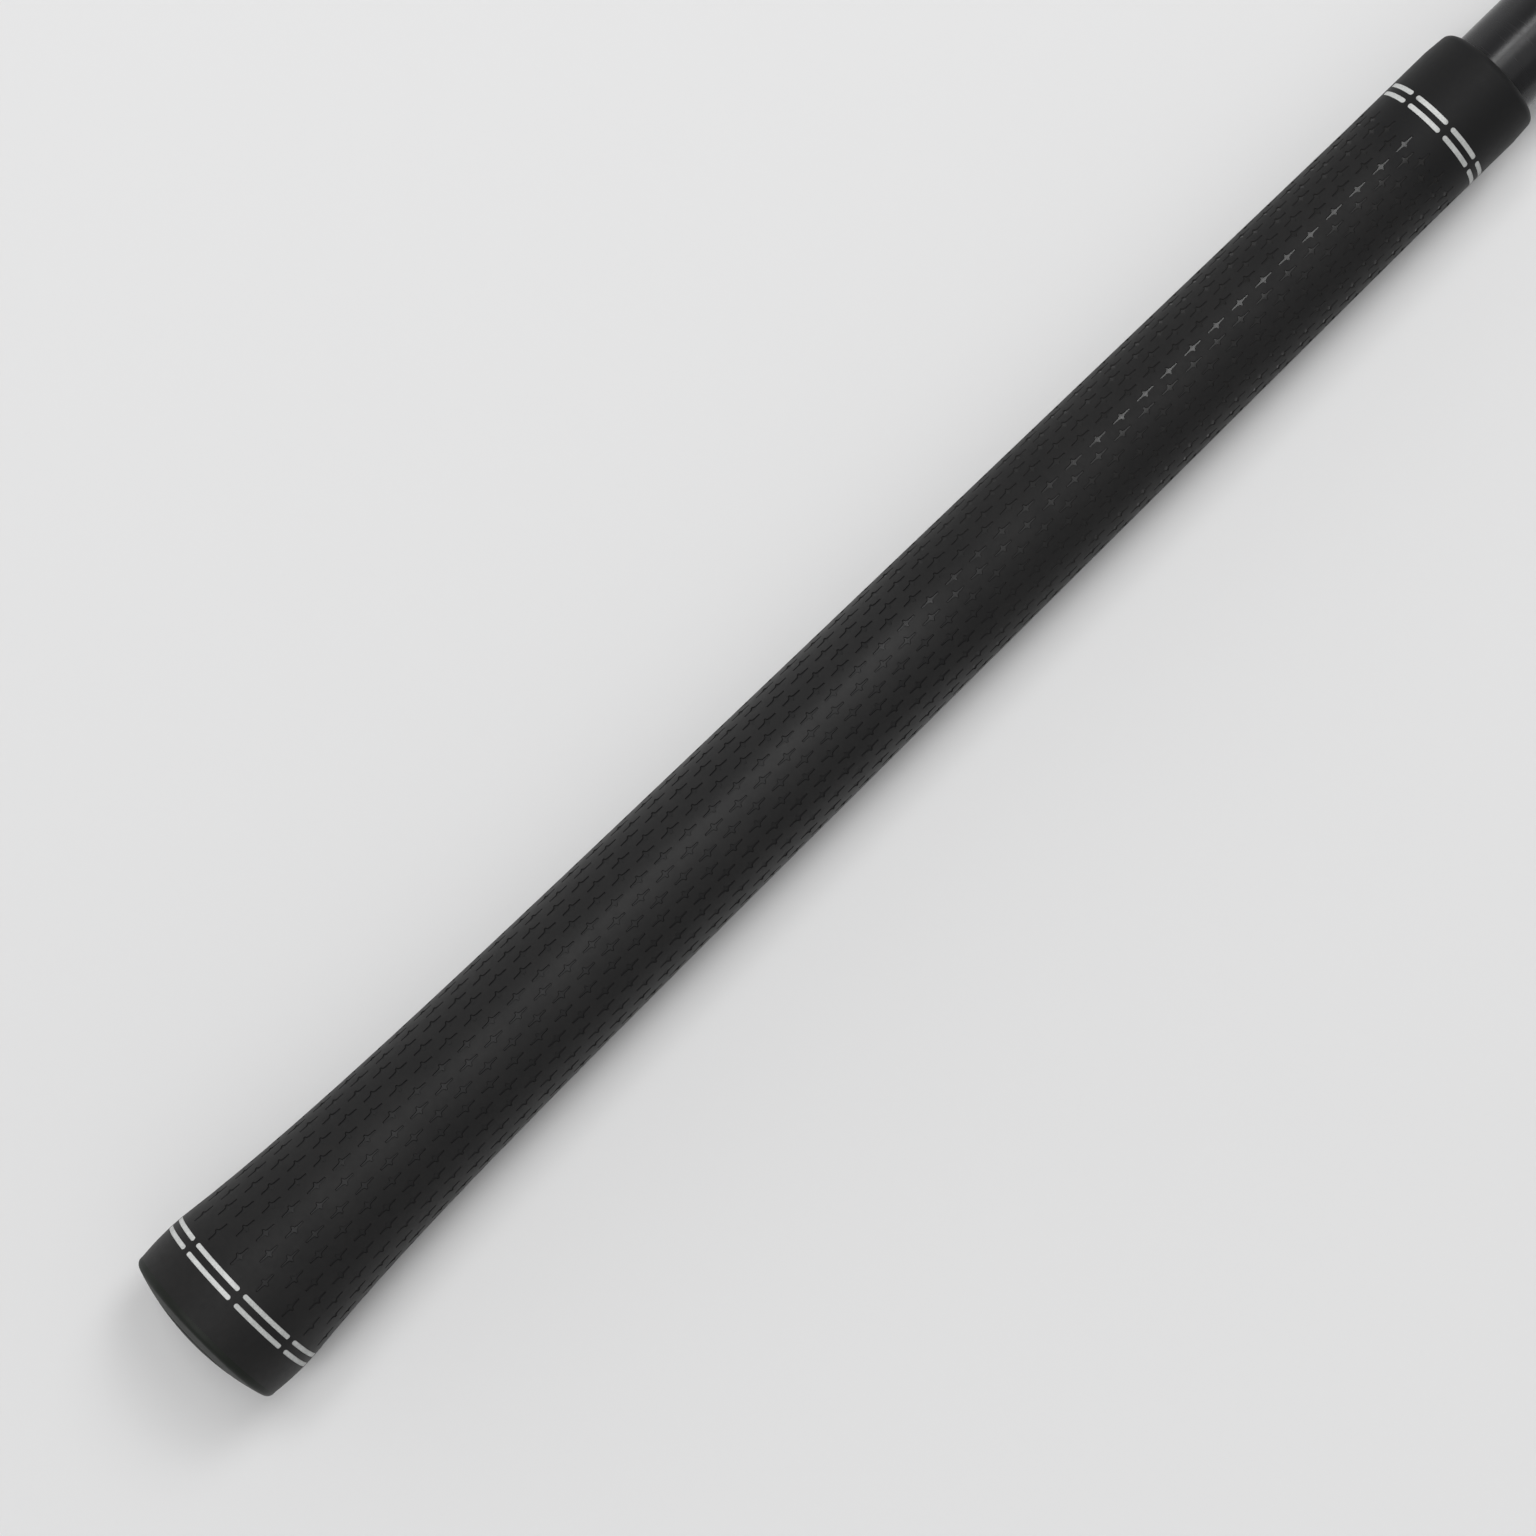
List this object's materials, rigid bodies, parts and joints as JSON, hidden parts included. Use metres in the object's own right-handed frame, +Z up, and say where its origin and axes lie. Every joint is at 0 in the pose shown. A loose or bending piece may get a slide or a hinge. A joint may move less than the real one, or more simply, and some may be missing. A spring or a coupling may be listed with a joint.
{
  "type": "golf grip",
  "caption": "Round tapered rubber golf grip with a flared butt, a bonded butt cap, painted dash rings and the butt end of its tubular shaft.",
  "frame": {"origin": "on the grip's axis at the crown of the butt cap, where the vent hole opens", "axes": "+X along the axis from the butt to the mouth and the shaft, +Z up through a gap between two dashes of the butt rings, +Y to the left of +X seen from above"},
  "size_m": [0.3079, 0.0282, 0.0283],
  "materials": {
    "sleeve_rubber": "matt black moulded rubber, buffed outside and smoother in its pressed marks",
    "cap_rubber": "satin black hard rubber",
    "tape": "creped paper tape with adhesive on both sides",
    "shaft_finish": "satin black painted carbon composite",
    "ring_paint": "white fill paint"
  },
  "bodies": {
    "root": {"grip_sleeve": "sleeve_rubber", "butt_cap": "cap_rubber", "grip_tape": "tape", "club_shaft": "shaft_finish", "butt_ring_inner_paint": "ring_paint", "butt_ring_outer_paint": "ring_paint", "mouth_ring_inner_paint": "ring_paint", "mouth_ring_outer_paint": "ring_paint"}
  },
  "joints": []
}
